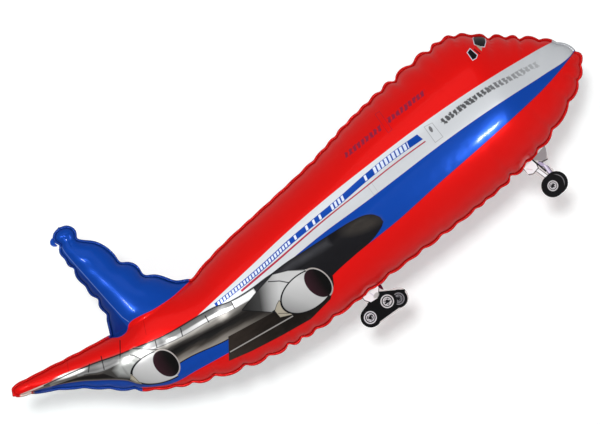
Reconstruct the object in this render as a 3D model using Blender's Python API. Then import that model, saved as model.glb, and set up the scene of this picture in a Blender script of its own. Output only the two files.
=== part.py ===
"""Airplane foil balloon, inflated: two printed foil sheets sealed together round their rim.

Metres, +Z up, +X towards the nose. The seam lies in the plane y = 0, and the right-hand sheet is on
the -Y side. The origin is the middle of the gas, where the air carries the balloon.
"""

import math

import bmesh
import bpy
from mathutils import Vector
from mathutils.geometry import interpolate_bezier

MM = 0.001

# Foil, seam and flaps. The foil's wall is drawn thick enough to be a solid.
WALL = 2.0 * MM
SEAM_WIDTH = 4.0 * MM
FILM_THICKNESS = 1.0 * MM
GAP = 0.3 * MM
RIM_Y = FILM_THICKNESS / 2 + GAP

# Depth of an inflated section over its height, the steps along and around it, and how much closer
# the steps lie at the ends
BODY_ROUNDNESS = 0.9
BODY_STATIONS = 46
BODY_AROUND = 14
BODY_CROWDING = 0.85
FIN_ROUNDNESS_AT_ROOT = 0.40
FIN_ROUNDNESS_AT_TIP = 0.60
FIN_STATIONS = 26
FIN_AROUND = 8
FIN_CROWDING = 0.75
STEPS_PER_STRETCH = 12

# Outer edge of the seam in the plane y = 0, in millimetres. Both body lines run from tail to nose.
CROWN_LINE = (
    (-543, 60), (-537, 70), (-500, 67), (-419, 56), (-330, 48), (-253, 50),
    (-188, 65), (-106, 77), (-25, 89), (44, 105), (139, 119), (207, 122),
    (232, 117), (268, 89), (309, 57), (341, 29), (354, 9), (358, -3),
)
KEEL_LINE = (
    (-543, 60), (-538, 53), (-500, 38), (-460, 15), (-378, -46), (-310, -79),
    (-242, -96), (-147, -105), (-11, -100), (125, -94), (220, -82),
    (275, -65), (332, -35), (351, -15), (358, -3),
)

# The fin's edges run from inside the body up to the round knob at its tip.
TRAILING_LINE = (
    (-398, 30), (-388, 50), (-377, 76), (-375, 102), (-378, 130), (-378, 160),
    (-379, 180), (-375, 191), (-376, 201), (-370, 209), (-360, 212),
)
LEADING_LINE = (
    (-232, 30), (-254, 51), (-276, 64), (-290, 80), (-302, 98), (-311, 116),
    (-321, 140), (-332, 164), (-345, 184), (-344, 198), (-350, 208), (-360, 212),
)

# Nose gear flap: a door, a strut block and a pair of tyres, in one piece of flat film
NOSE_TYRE_RADIUS = 15.7
NOSE_TYRE_REAR = (222.8, -127.2)
NOSE_TYRE_FRONT = (229.8, -126.5)
NOSE_ROOT_REAR = 203
NOSE_ROOT_FRONT = 246
NOSE_DOOR_FOOT = ((237, -109), (230, -94), (239, -94))
NOSE_BLOCK_HEEL = ((205, -98), (213, -100), (216, -111))

# Main gear flap: a strut block over a row of tyres
MAIN_TYRE_RADIUS = 14.2
MAIN_TYRE_REAR = (-82.0, -131.6)
MAIN_TYRE_FRONT = (-36.0, -131.0)
MAIN_ROOT_REAR = -77
MAIN_ROOT_FRONT = -45
MAIN_BLOCK_HEEL = ((-76, -115),)
MAIN_SHOULDER = ((-41, -116), (-46, -111))

# Inlet tab on the knob of the fin
TAB_LOW = 192
TAB_HIGH = 205
TAB_REACH = 7

ARC_STEP = 15

FOIL_RED = (0.72, 0.02, 0.015)
FOIL_BLUE = (0.012, 0.07, 0.42)
FILM_BLACK = (0.02, 0.02, 0.022)
FILM_SILVER = (0.72, 0.73, 0.75)


def clear_scene():
    for thing in list(bpy.data.objects):
        bpy.data.objects.remove(thing)


def finish_of(name, colour, metallic, roughness):
    finish = bpy.data.materials.new(name)
    finish.use_nodes = True
    shader = finish.node_tree.nodes["Principled BSDF"]
    shader.inputs["Base Color"].default_value = (*colour, 1)
    shader.inputs["Metallic"].default_value = metallic
    shader.inputs["Roughness"].default_value = roughness
    finish.diffuse_color = (*colour, 1)
    return finish


def smooth_line(points_mm):
    """A smooth line through the points, with each handle a third as long as its stretch."""
    knots = [Vector(point) * MM for point in points_mm]
    ways = [
        (knots[min(i + 1, len(knots) - 1)] - knots[max(i - 1, 0)]).normalized()
        for i in range(len(knots))
    ]
    line = [knots[0]]
    for i in range(len(knots) - 1):
        reach = (knots[i + 1] - knots[i]).length / 3
        handles = (knots[i] + ways[i] * reach, knots[i + 1] - ways[i + 1] * reach)
        line += interpolate_bezier(knots[i], *handles, knots[i + 1], STEPS_PER_STRETCH + 1)[1:]
    return line


def point_at(line, value, axis):
    """The point where the line has this value on the axis. The value only grows along the line."""
    for low, high in zip(line, line[1:]):
        if value <= high[axis]:
            share = (value - low[axis]) / (high[axis] - low[axis])
            return low.lerp(high, min(max(share, 0), 1))
    return line[-1]


def pairs_along(first, second, axis, stations, crowding):
    """Facing points of two lines that share their last point. Crowding moves stations to the ends."""
    start, end = first[0][axis], first[-1][axis]
    pairs = []
    for station in range(stations + 1):
        share = station / stations
        share -= crowding * math.sin(math.tau * share) / math.tau
        value = start + (end - start) * share
        pairs.append((point_at(first, value, axis), point_at(second, value, axis)))
    pairs[-1] = (first[-1], first[-1])
    return pairs


def is_closed_at_start(pairs):
    return (pairs[0][0] - pairs[0][1]).length < GAP


def moved_in(pairs, distance):
    """The pairs of the outline that lies this far inside."""
    first = [pair[0] for pair in pairs]
    second = [pair[1] for pair in reversed(pairs)][1:]
    closed = is_closed_at_start(pairs)
    loop = first + (second[:-1] if closed else second)
    last = len(loop) - 1
    moved = []
    for i, point in enumerate(loop):
        before = loop[i - 1] if closed else loop[max(i - 1, 0)]
        after = loop[(i + 1) % len(loop)] if closed else loop[min(i + 1, last)]
        along = (after - before).normalized()
        moved.append(point + distance * Vector((along.y, -along.x)))
    back = moved[len(first) - 1:] + (moved[:1] if closed else [])
    return list(zip(moved[:len(first)], reversed(back)))


def body_pairs():
    crown = smooth_line(CROWN_LINE)
    keel = smooth_line(KEEL_LINE)
    return pairs_along(crown, keel, 0, BODY_STATIONS, BODY_CROWDING)


def fin_pairs():
    trailing = smooth_line(TRAILING_LINE)
    leading = smooth_line(LEADING_LINE)
    return pairs_along(trailing, leading, 1, FIN_STATIONS, FIN_CROWDING)


def body_roundness(share):
    return BODY_ROUNDNESS


def fin_roundness(share):
    return FIN_ROUNDNESS_AT_ROOT + (FIN_ROUNDNESS_AT_TIP - FIN_ROUNDNESS_AT_ROOT) * share


def inflated(outward, backward, roundness, around):
    """A closed mesh of ring sections, each an arc from the first edge to the second and one back.

    An arc is half an ellipse. It is given as its pairs of edge points, the side of the seam that it
    bulges to, and how far it lies inside the foil.
    """
    stations = len(outward[0]) - 1
    ring = 2 * (around + 1)
    mesh = bmesh.new()
    bmesh.ops.create_grid(mesh, x_segments=stations, y_segments=ring, size=0.5)
    for vert in mesh.verts:
        station = round((vert.co.x + 0.5) * stations)
        column = round((vert.co.y + 0.5) * ring) % ring
        pairs, side, inside = outward if column <= around else backward
        turn = math.pi * min(column, ring - 1 - column) / around
        first, second = pairs[station]
        half = (first - second) / 2
        place = (first + second) / 2 + half * math.cos(turn)
        depth = roundness(station / stations) * (half.length + inside) - inside
        vert.co = (place.x, side * (RIM_Y + max(depth, 0) * math.sin(turn)), place.y)
    bmesh.ops.remove_doubles(mesh, verts=mesh.verts, dist=GAP / 10)
    bmesh.ops.holes_fill(mesh, edges=mesh.edges)
    bmesh.ops.recalc_face_normals(mesh, faces=mesh.faces)
    return mesh


def object_from(mesh, name, finish, parent):
    data = bpy.data.meshes.new(name)
    mesh.to_mesh(data)
    mesh.free()
    data.shade_smooth()
    data.set_sharp_from_angle(angle=math.radians(40))
    data.materials.append(finish)
    thing = bpy.data.objects.new(name, data)
    thing.parent = parent
    bpy.context.scene.collection.objects.link(thing)
    return thing


def foil_half(name, pairs, roundness, side, around, finish, parent):
    """One inflated sheet: an outer and an inner face, joined by a flat rim that faces the seam."""
    outer = (moved_in(pairs, SEAM_WIDTH), side, 0)
    inner = (moved_in(pairs, SEAM_WIDTH + WALL), side, WALL)
    return object_from(inflated(outer, inner, roundness, around), name, finish, parent)


def body_cutter(pairs, finish, parent):
    """The inflated body grown by the gap, which trims the foot of the fin."""
    grown = moved_in(pairs, SEAM_WIDTH - GAP / BODY_ROUNDNESS)
    mesh = inflated((grown, -1, 0), (grown, 1, 0), body_roundness, BODY_AROUND)
    cutter = object_from(mesh, "body_cutter", finish, parent)
    cutter.hide_render = True
    cutter.display_type = "WIRE"
    return cutter


def trim(thing, cutter):
    cut = thing.modifiers.new("seat_on_body", "BOOLEAN")
    cut.operation = "DIFFERENCE"
    cut.solver = "EXACT"
    cut.object = cutter


def flat_film(name, outlines, finish, parent):
    """A flat piece of film standing in the plane y = 0. A second outline is a hole in the first."""
    curve = bpy.data.curves.new(name, "CURVE")
    curve.dimensions = "2D"
    curve.fill_mode = "BOTH"
    curve.extrude = FILM_THICKNESS / 2
    for outline in outlines:
        spline = curve.splines.new("POLY")
        spline.points.add(len(outline) - 1)
        for point, place in zip(spline.points, outline):
            point.co = (place.x, place.y, 0, 1)
        spline.use_cyclic_u = True
    curve.materials.append(finish)
    thing = bpy.data.objects.new(name, curve)
    thing.rotation_euler = (math.radians(90), 0, 0)
    thing.parent = parent
    bpy.context.scene.collection.objects.link(thing)
    return thing


def silhouette(body, fin, distance):
    """The whole outline, body and fin, this far inside the seam's outer edge."""
    body = moved_in(body, distance)
    fin = moved_in(fin, distance)
    crown = [pair[0] for pair in body]
    keel = [pair[1] for pair in body]
    trailing = [p for p, _ in fin if p.y > point_at(crown, p.x, 0).y + GAP]
    leading = [p for _, p in fin if p.y > point_at(crown, p.x, 0).y + GAP]
    behind = [p for p in crown if p.x < trailing[0].x - GAP]
    ahead = [p for p in crown if p.x > leading[0].x + GAP]
    return behind + trailing + leading[-2::-1] + ahead + keel[-2:0:-1]


def arc(centre_mm, radius_mm, start_deg, end_deg):
    """Points on an arc, anticlockwise from start to end as seen from the right-hand side."""
    count = max(1, round(abs(end_deg - start_deg) / ARC_STEP))
    points = []
    for step in range(count + 1):
        angle = math.radians(start_deg + (end_deg - start_deg) * step / count)
        ray = Vector((math.cos(angle), math.sin(angle)))
        points.append((Vector(centre_mm) + ray * radius_mm) * MM)
    return points


def millimetres(*points):
    return [Vector(point) * MM for point in points]


def under_keel(keel, rear_mm, front_mm):
    """The edge of a flap that meets the seam, from front to rear, a gap below it."""
    ends = (rear_mm * MM, front_mm * MM)
    between = [p.x for p in keel if ends[0] + GAP < p.x < ends[1] - GAP]
    places = sorted((*ends, *between), reverse=True)
    return [point_at(keel, x, 0) - Vector((0, GAP)) for x in places]


def nose_gear_outline(keel):
    return (
        under_keel(keel, NOSE_ROOT_REAR, NOSE_ROOT_FRONT)
        + millimetres(*NOSE_BLOCK_HEEL)
        + arc(NOSE_TYRE_REAR, NOSE_TYRE_RADIUS, 120, 270)
        + arc(NOSE_TYRE_FRONT, NOSE_TYRE_RADIUS, 280, 430)
        + millimetres(*NOSE_DOOR_FOOT)
    )


def main_gear_outline(keel):
    return (
        under_keel(keel, MAIN_ROOT_REAR, MAIN_ROOT_FRONT)
        + millimetres(*MAIN_BLOCK_HEEL)
        + arc(MAIN_TYRE_REAR, MAIN_TYRE_RADIUS, 105, 270)
        + arc(MAIN_TYRE_FRONT, MAIN_TYRE_RADIUS, 270, 440)
        + millimetres(*MAIN_SHOULDER)
    )


def inlet_tab_outline(trailing):
    """A short round-cornered tab whose straight side follows the fin's edge, a gap away from it."""
    low, high = TAB_LOW * MM, TAB_HIGH * MM
    between = [p.y for p in trailing if low + GAP < p.y < high - GAP]
    heights = sorted((low, high, *between))
    side = [point_at(trailing, z, 1) - Vector((GAP, 0)) for z in heights]
    middle = Vector((side[0].x, (low + high) / 2))
    reach = Vector((TAB_REACH * MM, (high - low) / 2))
    tip = []
    for angle in (110, 135, 160, 180, 200, 225, 250):
        ray = Vector((math.cos(math.radians(angle)), math.sin(math.radians(angle))))
        tip.append(middle + Vector((ray.x * reach.x, ray.y * reach.y)))
    return side + tip


def build():
    clear_scene()
    red = finish_of("red_foil", FOIL_RED, 0.35, 0.3)
    blue = finish_of("blue_foil", FOIL_BLUE, 0.35, 0.3)
    black = finish_of("black_film", FILM_BLACK, 0.0, 0.5)
    silver = finish_of("silver_film", FILM_SILVER, 0.8, 0.25)
    balloon = bpy.data.objects.new("balloon", None)
    bpy.context.scene.collection.objects.link(balloon)

    body = body_pairs()
    fin = fin_pairs()
    cutter = body_cutter(body, red, balloon)
    for side, hand in ((-1, "right"), (1, "left")):
        foil_half(hand + "_body_foil", body, body_roundness, side, BODY_AROUND, red, balloon)
        lobe = foil_half(hand + "_fin_foil", fin, fin_roundness, side, FIN_AROUND, blue, balloon)
        trim(lobe, cutter)

    rim = [silhouette(body, fin, 0), silhouette(body, fin, SEAM_WIDTH + WALL)]
    flat_film("seam_rim", rim, silver, balloon)
    keel = [pair[1] for pair in body]
    flat_film("nose_gear_flap", [nose_gear_outline(keel)], black, balloon)
    flat_film("main_gear_flap", [main_gear_outline(keel)], black, balloon)
    trailing = [pair[0] for pair in fin]
    flat_film("inlet_tab", [inlet_tab_outline(trailing)], silver, balloon)


build()
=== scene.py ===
"""Looks of the airplane foil balloon: two printed foil sheets, inflated, and the film sealed to them.

The frame gives the CAD box and the nodes. +X is the nose, +Z is up, and the seam is the plane y = 0.
Prints are laid out in millimetres along X and up Z, as the maker's artwork is.
"""

import functools
import math
import random

import bmesh
import bpy
from mathutils import Matrix, Vector
from mathutils.geometry import interpolate_bezier
from mathutils.kdtree import KDTree


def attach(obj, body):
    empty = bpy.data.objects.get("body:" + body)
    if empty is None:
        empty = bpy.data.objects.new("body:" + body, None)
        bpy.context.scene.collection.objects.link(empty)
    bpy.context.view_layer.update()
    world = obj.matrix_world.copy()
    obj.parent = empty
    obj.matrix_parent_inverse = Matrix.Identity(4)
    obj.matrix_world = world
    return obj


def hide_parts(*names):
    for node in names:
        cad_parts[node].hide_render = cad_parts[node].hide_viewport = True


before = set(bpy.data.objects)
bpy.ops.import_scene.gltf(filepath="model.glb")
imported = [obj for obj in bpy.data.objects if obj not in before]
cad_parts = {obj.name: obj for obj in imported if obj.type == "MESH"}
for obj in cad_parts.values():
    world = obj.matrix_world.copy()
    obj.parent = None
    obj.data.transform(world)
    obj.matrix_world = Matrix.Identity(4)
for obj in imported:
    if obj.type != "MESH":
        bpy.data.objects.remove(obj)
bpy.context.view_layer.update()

MM = 0.001

# Foil, seam and film
SEAM_WIDTH = 4.0 * MM
FOIL_WALL = 0.4 * MM
SEAM_THICKNESS = 0.6 * MM
STEPS_PER_STRETCH = 12
FIN_JOIN = 0.4 * MM
MIDDLE_JOIN = 0.001 * MM
ON_SEAM = 0.01 * MM
NEARLY_ZERO = 1e-12
MAP_MARGIN = 0.01

# Outer edge of the seam in millimetres, from tail to nose, and from the body up to the fin's knob
CROWN_LINE = (
    (-543, 60), (-537, 70), (-500, 67), (-419, 56), (-330, 48), (-253, 51), (-232, 57),
    (-188, 66), (-106, 77), (-25, 89), (44, 105), (139, 119), (207, 123),
    (232, 118), (268, 91), (309, 60), (338, 34), (354, 10), (358, -3),
)
KEEL_LINE = (
    (-543, 60), (-538, 55), (-521, 46.5), (-500, 37), (-460, 14), (-420, -16), (-378, -46),
    (-316, -74), (-242, -95), (-147, -105), (-11, -100), (125, -94), (220, -82), (275, -65),
    (332, -35), (351, -15), (358, -3),
)
TRAILING_LINE = (
    (-398, 30), (-388, 50), (-377, 76), (-375, 102), (-378, 130), (-378, 160),
    (-379, 180), (-375, 191), (-376, 201), (-370, 209), (-360, 212),
)
LEADING_LINE = (
    (-232, 30), (-254, 52), (-274, 65), (-288, 81), (-300, 99), (-309, 117),
    (-319, 141), (-330, 165), (-344, 184), (-344, 198), (-350, 208), (-360, 212),
)

# How round an inflated section is, and the steps of the sheets' grids
BODY_ROUNDNESS = 0.9
FIN_ROUNDNESS = 0.78
ROOT_DEPTH = 34 * MM
ROOT_SHAPE = 0.9
BODY_COLUMNS = 40
TAIL_STATIONS = 44
ROOT_STATIONS = 36
NOSE_STATIONS = 176
FIN_ROWS = 44
COLUMN_CROWDING = 0.45
END_CROWDING = 0.9
TIP_CROWDING = 0.85

# How soon, on the way up the fin, its grid evens out, its root's form fades and its section is an oval
FIN_EVEN_RATE = 4
FIN_FADE_RATE = 1.6
FIN_FADE_SHAPE = 1.5
FIN_OVAL_RATE = 5
CROWN_FADE_SHAPE = 3

# The deepest puckers of the seam in millimetres, as (place, depth): along X on the crown and the keel,
# and up Z on the fin's two edges
CROWN_PUCKERS = (
    (-24, 2), (20, 2.5), (42, 2.5), (83, 3), (128, 7), (161, 5), (191, 8.5), (229, 6.5),
    (247, 1.5), (266, 8), (300, 6), (321, 3), (352, 3),
)
KEEL_PUCKERS = (
    (-520, 2), (-400, 3.5), (-353, 2), (-302, 5), (-259, 6), (-194, 6.5), (-152, 4), (62, 3.5),
    (119, 2.5), (184, 7), (235, 5), (266, 4), (306, 3.5), (333, 4),
)
TRAILING_PUCKERS = ((77, 3), (102, 7), (126, 2), (154, 5), (191, 2.5))
LEADING_PUCKERS = ((56, 3), (93, 9), (126, 8), (186, 4))

# The smaller puckers between them
PLEAT_SEED = 7
PLEAT_SPACING = (23 * MM, 33 * MM)
PLEAT_DEPTH = (1.6 * MM, 4.2 * MM)
PLEAT_REACH = (30 * MM, 75 * MM)
PLEAT_SHIFT = 0.3
PLEAT_LEAN = 0.2
DEEP_REACH = 90 * MM
DEEP_REACH_RANGE = (0.8, 1.3)
DEEP_LEAN = 0.16
FIN_REACH = 40 * MM
FIN_SHARE = 0.5
FIN_START = 6 * MM
LOBE_SHAPE = 0.75
LOBE_RISE = 0.4
CREASE_FADE = 1.5
SEAM_WAVE = 1.2 * MM
SEAM_WAVE_PACE = 17 * MM
SEAM_WAVE_GROWTH = 1.5

# Where the small puckers are weaker: start and end in metres, and the strength at each
CORNER_CALM = (8 * MM, 40 * MM, 0.1, 1)
FIN_REAR_CALM = (165 * MM, 185 * MM, 0.75, 0.05)
FIN_REAR_SETBACK = 20 * MM
KEEL_CALM = (-500 * MM, -330 * MM, 0.4, 1)
CROWN_CALM = (-20 * MM, 70 * MM, 0.25, 1)
TAIL_STRENGTH = 0.3

# Pressure run of the cloth
CLOTH_FRAMES = 20
CLOTH_STIFFNESS = 40
CLOTH_DAMPING = 5
CLOTH_SETTINGS = {
    "quality": 4,
    "mass": 0.05,
    "tension_stiffness": CLOTH_STIFFNESS,
    "compression_stiffness": CLOTH_STIFFNESS,
    "shear_stiffness": CLOTH_STIFFNESS / 4,
    "bending_model": "ANGULAR",
    "bending_stiffness": 0,
    "tension_damping": CLOTH_DAMPING,
    "compression_damping": CLOTH_DAMPING,
    "shear_damping": CLOTH_DAMPING,
    "air_damping": 2,
    "use_pressure": True,
    "uniform_pressure_force": 6.0,
    "vertex_group_mass": "hold",
    "pin_stiffness": 1,
}
HOLD_START = 20 * MM
HOLD_OVER = 50 * MM
HOLD_MOST = 0.03

# The photo's viewpoint, and the flat size of the picture at the seam
VIEW_DISTANCE = 3.0
VIEW_CENTRE = Vector((-0.0789, 0, 0.0408))
VIEW_ROLL = math.radians(35)
LENS = 132.35


def smooth_line(points_mm):
    """A smooth line through the points, with each handle a third as long as its stretch."""
    knots = [Vector(point) * MM for point in points_mm]
    ways = [
        (knots[min(i + 1, len(knots) - 1)] - knots[max(i - 1, 0)]).normalized()
        for i in range(len(knots))
    ]
    line = [knots[0]]
    for i in range(len(knots) - 1):
        reach = (knots[i + 1] - knots[i]).length / 3
        handles = (knots[i] + ways[i] * reach, knots[i + 1] - ways[i + 1] * reach)
        line += interpolate_bezier(knots[i], *handles, knots[i + 1], STEPS_PER_STRETCH + 1)[1:]
    return line


def shifted_right(line, distance):
    """The line moved to its right-hand side, each point along its own normal."""
    moved = []
    for i, point in enumerate(line):
        along = (line[min(i + 1, len(line) - 1)] - line[max(i - 1, 0)]).normalized()
        moved.append(point + distance * Vector((along.y, -along.x)))
    return moved


def point_at(line, value, axis):
    """The point where the line has this value on the axis."""
    for low, high in zip(line, line[1:]):
        if low[axis] <= value <= high[axis]:
            return low.lerp(high, (value - low[axis]) / max(high[axis] - low[axis], NEARLY_ZERO))
    return (line[0] if value < line[0][axis] else line[-1]).copy()


def crossing(first, second):
    """Where two lines cross."""
    for a, b in zip(first, first[1:]):
        for c, d in zip(second, second[1:]):
            r, s = b - a, d - c
            across = r.cross(s)
            if abs(across) < NEARLY_ZERO:
                continue
            t, u = (c - a).cross(s) / across, (c - a).cross(r) / across
            if 0 <= t <= 1 and 0 <= u <= 1:
                return a + r * t
    raise ValueError("the lines don't cross")


def crowded(share, start, end):
    """A share from 0 to 1 whose steps are closer together near an end whose value is near 1."""
    bend = math.sin(math.pi * share) / math.pi
    return share - start * bend * (1 - share) + end * bend * share


class Outline:
    """The line where the foil meets the seam, in four edges, and the body's sections along it."""

    def __init__(self):
        self.crown = shifted_right(smooth_line(CROWN_LINE), SEAM_WIDTH)
        self.keel = shifted_right(smooth_line(KEEL_LINE), -SEAM_WIDTH)
        self.trailing = shifted_right(smooth_line(TRAILING_LINE), SEAM_WIDTH)
        self.leading = shifted_right(smooth_line(LEADING_LINE), -SEAM_WIDTH)
        self.root_rear = crossing(self.crown, self.trailing)
        self.root_front = crossing(self.crown, self.leading)
        self.sections = self.body_sections()

    def body_sections(self):
        """(crown point, keel point, share along the fin's root or None) from tail to nose."""
        tail, nose = self.crown[0].x, self.crown[-1].x
        rear, front = self.root_rear.x, self.root_front.x
        places = [
            tail + (rear - tail) * crowded(i / TAIL_STATIONS, END_CROWDING, 0)
            for i in range(TAIL_STATIONS)
        ]
        places += [rear + (front - rear) * i / ROOT_STATIONS for i in range(ROOT_STATIONS)]
        places += [
            front + (nose - front) * crowded(i / NOSE_STATIONS, 0, END_CROWDING)
            for i in range(NOSE_STATIONS + 1)
        ]
        found = []
        for i, place in enumerate(places):
            crown, keel = point_at(self.crown, place, 0), point_at(self.keel, place, 0)
            if i in (0, len(places) - 1):
                crown = keel = (crown + keel) / 2
            root = (i - TAIL_STATIONS) / ROOT_STATIONS
            found.append((crown, keel, root if 0 <= root <= 1 else None))
        return found


def root_depth(root):
    """Half the opening between body and fin at this share of the fin's root."""
    return ROOT_DEPTH * math.sin(math.pi * root) ** ROOT_SHAPE if 0 < root < 1 else 0


def body_sheet(outline):
    """The body's right-hand side as a grid from keel to crown, open to the fin at its root."""
    last = len(outline.sections) - 1
    mesh = bmesh.new()
    bmesh.ops.create_grid(mesh, x_segments=last, y_segments=BODY_COLUMNS, size=0.5)
    for vert in mesh.verts:
        share = vert.co.y + 0.5
        crown, keel, root = outline.sections[round((vert.co.x + 0.5) * last)]
        depth = BODY_ROUNDNESS * (crown - keel).length / 2
        most = 1
        if root is not None:
            most = 1 - math.asin(min(root_depth(root) / depth, 1)) / math.pi
        turn = math.pi * most * (share - COLUMN_CROWDING * math.sin(math.tau * share) / math.tau)
        rise = (1 - math.cos(turn)) / (1 - math.cos(math.pi * most))
        place = keel.lerp(crown, rise)
        vert.co = (place.x, -depth * math.sin(turn), place.y)
    return mesh


def fin_sheet(outline):
    """The fin's right-hand side as a grid from the body's crown up to the knob."""
    rear, front = outline.root_rear, outline.root_front
    tip = max(outline.trailing[-1].y, outline.leading[-1].y)
    root_line = outline.sections[TAIL_STATIONS:TAIL_STATIONS + ROOT_STATIONS + 1]
    mesh = bmesh.new()
    bmesh.ops.create_grid(mesh, x_segments=ROOT_STATIONS, y_segments=FIN_ROWS, size=0.5)
    for vert in mesh.verts:
        share = vert.co.x + 0.5
        up = crowded(vert.co.y + 0.5, 0, TIP_CROWDING)
        spread = share + ((1 - math.cos(math.pi * share)) / 2 - share) * min(up * FIN_EVEN_RATE, 1)
        back = point_at(outline.trailing, rear.y + (tip - rear.y) * up, 1)
        fore = point_at(outline.leading, front.y + (tip - front.y) * up, 1)
        place = back.lerp(fore, spread)
        crown = root_line[round(share * ROOT_STATIONS)][0]
        place.y += (crown.y - rear.lerp(front, share).y) * (1 - up) ** CROWN_FADE_SHAPE
        half = FIN_ROUNDNESS * (fore - back).length / 2
        full = half + (ROOT_DEPTH - half) * max(0, 1 - up * FIN_FADE_RATE) ** FIN_FADE_SHAPE
        oval = math.sqrt(max(4 * spread * (1 - spread), 0))
        wave = root_depth(share) / ROOT_DEPTH
        depth = full * (wave + (oval - wave) * min(up * FIN_OVAL_RATE, 1))
        vert.co = (place.x, -depth, place.y)
    return mesh


def seen_flat(place):
    """Where the camera of the photo sees this place on the seam's plane, in metres."""
    scale = VIEW_DISTANCE / (VIEW_DISTANCE - abs(place.y))
    seen = VIEW_CENTRE + (place - VIEW_CENTRE) * scale
    return seen.x, seen.z


def lay_out_print(mesh):
    """The print's map, in metres along and up the flat artwork, and one that fills a unit square."""
    layer = mesh.loops.layers.uv.new("print")
    whole = mesh.loops.layers.uv.new("OFBake")
    across = min(vert.co.x for vert in mesh.verts), max(vert.co.x for vert in mesh.verts)
    upward = min(vert.co.z for vert in mesh.verts), max(vert.co.z for vert in mesh.verts)
    for face in mesh.faces:
        for loop in face.loops:
            place = loop.vert.co
            loop[layer].uv = seen_flat(place)
            loop[whole].uv = (
                ramp(place.x, *across, MAP_MARGIN, 1 - MAP_MARGIN),
                ramp(place.z, *upward, MAP_MARGIN, 1 - MAP_MARGIN),
            )


def join_into(mesh, other):
    spare = bpy.data.meshes.new("spare")
    other.to_mesh(spare)
    other.free()
    mesh.from_mesh(spare)
    bpy.data.meshes.remove(spare)


def rim_of(mesh):
    """The open edge of one side in order: from the tail over the crown to the nose, and back below."""
    ways = {}
    for edge in mesh.edges:
        if edge.is_boundary:
            for vert in edge.verts:
                ways.setdefault(vert, []).append(edge.other_vert(vert))
    start = min(ways, key=lambda vert: vert.co.x)
    loop = [start, max(ways[start], key=lambda vert: vert.co.z)]
    while loop[-1] is not start:
        loop.append(next(vert for vert in ways[loop[-1]] if vert is not loop[-2]))
    points = [vert.co.copy() for vert in loop[:-1]]
    turning = sum(a.x * b.z - b.x * a.z for a, b in zip(points, points[1:] + points[:1]))
    return points if turning < 0 else points[:1] + points[:0:-1]


def envelope(outline):
    """(the foil envelope, closed at the seam with its faces pointing out, the seam's points in order)."""
    mesh = body_sheet(outline)
    join_into(mesh, fin_sheet(outline))
    bmesh.ops.remove_doubles(mesh, verts=mesh.verts, dist=FIN_JOIN)
    for vert in mesh.verts:
        if vert.is_boundary:
            vert.co.y = 0
    points = rim_of(mesh)
    parts = mesh.verts[:] + mesh.edges[:] + mesh.faces[:]
    bmesh.ops.mirror(mesh, geom=parts, axis="Y", merge_dist=MIDDLE_JOIN)
    bmesh.ops.remove_doubles(mesh, verts=mesh.verts, dist=MIDDLE_JOIN)
    bmesh.ops.recalc_face_normals(mesh, faces=mesh.faces)
    if mesh.calc_volume(signed=True) < 0:
        bmesh.ops.reverse_faces(mesh, faces=mesh.faces)
    mesh.normal_update()
    return mesh, points


def numbers_of(mesh, points):
    """The mesh's vertex at each of these points."""
    tree = KDTree(len(mesh.verts))
    mesh.verts.index_update()
    for vert in mesh.verts:
        tree.insert(vert.co, vert.index)
    tree.balance()
    return [tree.find(point)[1] for point in points]


class Rim:
    """The seam's line as the sheets were made, with lengths along it."""

    def __init__(self, points):
        self.points = points
        self.along = [0.0]
        for a, b in zip(points, points[1:] + points[:1]):
            self.along.append(self.along[-1] + (b - a).length)
        self.length = self.along[-1]
        self.tree = KDTree(len(points))
        for i, point in enumerate(points):
            self.tree.insert(point, i)
        self.tree.balance()

    def nearest(self, place):
        """(how far along the seam, how far from it) for a place."""
        nearest = self.tree.find(place)[1]
        best = None
        for i in (nearest - 1, nearest):
            a, b = self.points[i], self.points[(i + 1) % len(self.points)]
            share = (place - a).dot(b - a) / max((b - a).length_squared, NEARLY_ZERO)
            share = min(max(share, 0), 1)
            far = (place - a.lerp(b, share)).length
            if best is None or far < best[1]:
                best = (self.along[i % len(self.points)] + share * (b - a).length, far)
        return best

    def point(self, along):
        along %= self.length
        for i, start in enumerate(self.along[1:]):
            if start >= along:
                a, b = self.points[i], self.points[(i + 1) % len(self.points)]
                return a.lerp(b, (along - self.along[i]) / max(start - self.along[i], NEARLY_ZERO))
        return self.points[0]


def ramp(value, start, end, low=0.0, high=1.0):
    """From low at start to high at end, and flat outside."""
    share = min(max((value - start) / (end - start), 0), 1)
    return low + (high - low) * share


def on_fin(place, outline):
    return place.z > point_at(outline.crown, place.x, 0).y + FIN_START


def puckering(place, outline):
    """How strongly the seam puckers here, from 0 to 1."""
    rear, front = outline.root_rear, outline.root_front
    corner = min((place - Vector((c.x, 0, c.y))).length for c in (rear, front))
    calm = ramp(corner, *CORNER_CALM)
    crown = point_at(outline.crown, place.x, 0).y
    if on_fin(place, outline):
        behind = place.x < (rear.x + front.x) / 2 - FIN_REAR_SETBACK
        return calm * ramp(place.z, *FIN_REAR_CALM) if behind else 0
    if place.z < (crown + point_at(outline.keel, place.x, 0).y) / 2:
        return ramp(place.x, *KEEL_CALM)
    if place.x < rear.x:
        return calm * TAIL_STRENGTH
    return calm * ramp(place.x, *CROWN_CALM)


def deep_puckers(rim, outline):
    """(place along the seam, depth, reach) of each deep pucker."""
    found = []
    for line, axis, puckers in (
        (outline.crown, 0, CROWN_PUCKERS),
        (outline.keel, 0, KEEL_PUCKERS),
        (outline.trailing, 1, TRAILING_PUCKERS),
        (outline.leading, 1, LEADING_PUCKERS),
    ):
        for place, depth in puckers:
            point = point_at(line, place * MM, axis)
            reach = DEEP_REACH if axis == 0 else FIN_REACH
            found.append((rim.nearest(Vector((point.x, 0, point.y)))[0], depth * MM, reach))
    return sorted(found)


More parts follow.
